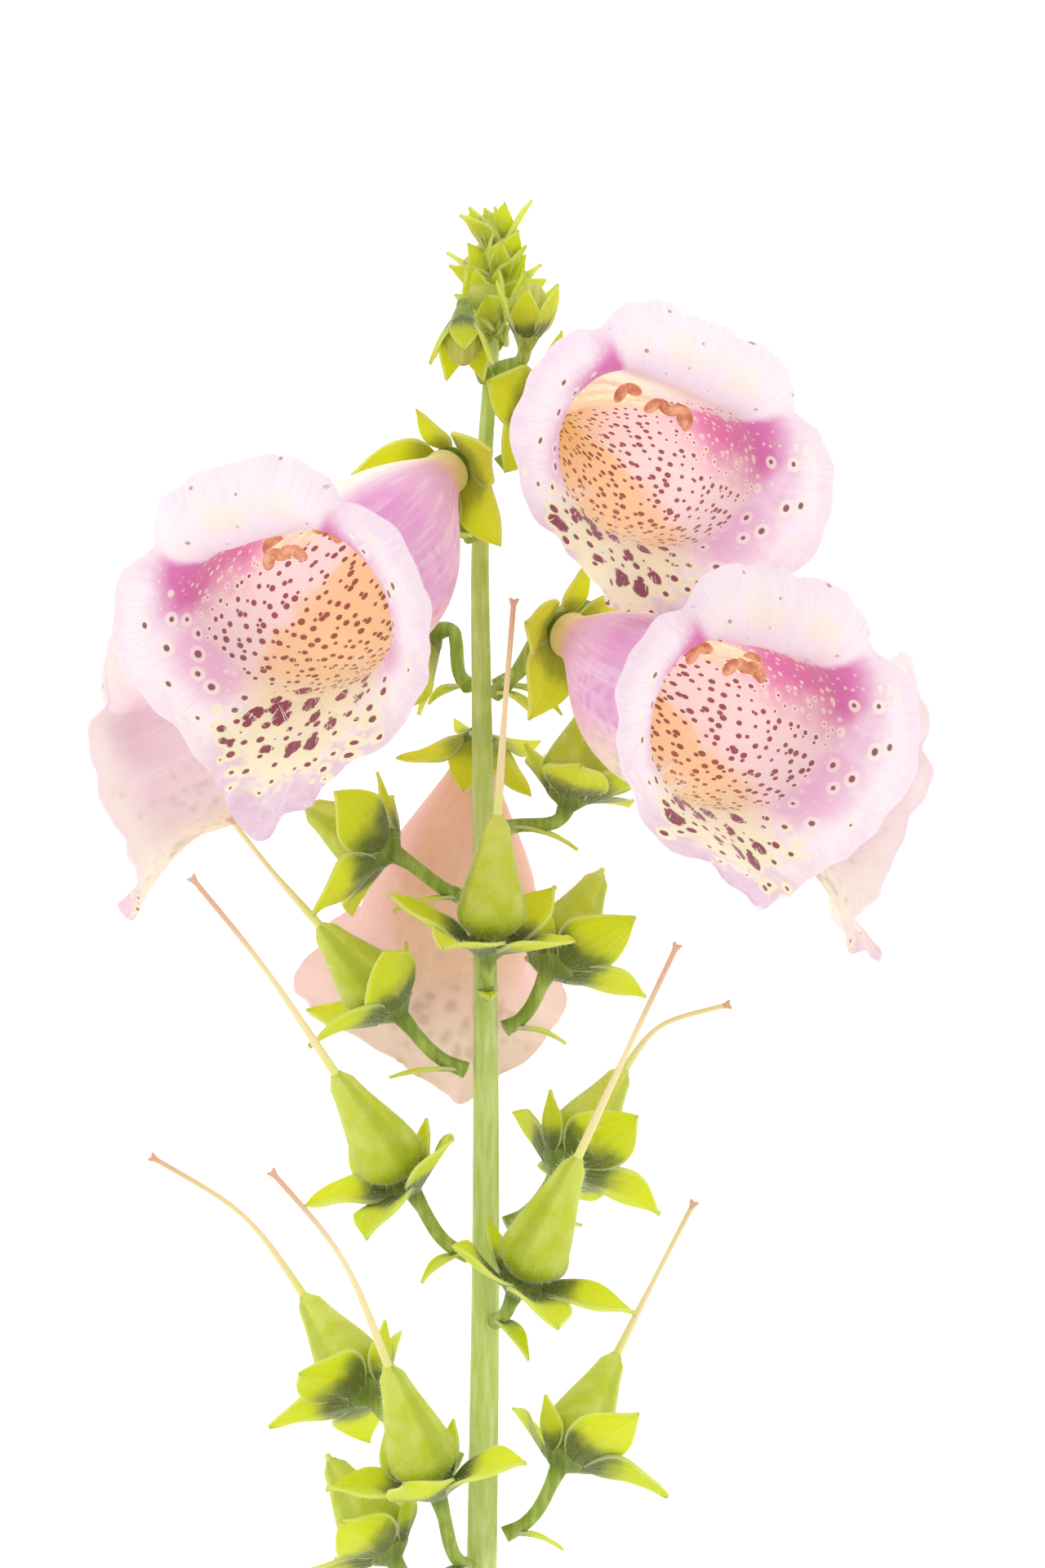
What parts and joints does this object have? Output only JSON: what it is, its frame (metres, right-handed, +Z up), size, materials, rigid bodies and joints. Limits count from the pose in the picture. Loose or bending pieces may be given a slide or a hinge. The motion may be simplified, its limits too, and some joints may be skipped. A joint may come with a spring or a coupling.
{
  "type": "foxglove flower spike",
  "caption": "Cut foxglove spike lying on its side: spotted bell flowers, a budding tip, and seed capsules with long styles in leafy calyces along a slender stem.",
  "frame": {"origin": "on the surface under the middle of the lying spike", "axes": "+Y from the cut end towards the growing tip, +Z up from the surface, +X to the right of the spike"},
  "size_m": [0.1036, 0.1978, 0.0932],
  "materials": {
    "stem": "matte pale green plant stem, faintly ribbed, with fine white hairs",
    "sepals": "soft satin, translucent lime-green leaf, darker olive at the base",
    "petals": "soft matte, translucent lilac-pink petal with maroon spots in pale rings inside",
    "stamens": "matte orange-buff filaments and anthers, pale style",
    "capsules": "matte downy green capsule that runs into a golden to rosy style"
  },
  "bodies": {
    "root": {"bud_hanging": "sepals", "bud_upper": "sepals", "calyx_behind": "sepals", "calyx_behind_left": "sepals", "calyx_behind_right": "sepals", "calyx_left": "sepals", "calyx_lower_right": "sepals", "calyx_upper_right": "sepals", "capsule_back_left_low": "capsules", "capsule_back_right_low": "capsules", "capsule_back_right_mid": "capsules", "capsule_front": "capsules", "capsule_left_foot": "capsules", "capsule_left_low": "capsules", "capsule_left_mid": "capsules", "capsule_left_top": "capsules", "capsule_left_upper": "capsules", "capsule_right_behind": "capsules", "capsule_right_mid": "capsules", "capsule_right_top": "capsules", "corolla_behind": "petals", "corolla_behind_left": "petals", "corolla_behind_right": "petals", "corolla_left": "petals", "corolla_lower_right": "petals", "corolla_upper_right": "petals", "sepals_back_left_low": "sepals", "sepals_back_right_low": "sepals", "sepals_back_right_mid": "sepals", "sepals_front": "sepals", "sepals_left_foot": "sepals", "sepals_left_low": "sepals", "sepals_left_mid": "sepals", "sepals_left_top": "sepals", "sepals_left_upper": "sepals", "sepals_right_behind": "sepals", "sepals_right_mid": "sepals", "sepals_right_top": "sepals", "stamens_behind": "stamens", "stamens_behind_left": "stamens", "stamens_behind_right": "stamens", "stamens_left": "stamens", "stamens_lower_right": "stamens", "stamens_upper_right": "stamens", "stem": "stem"}
  },
  "joints": []
}
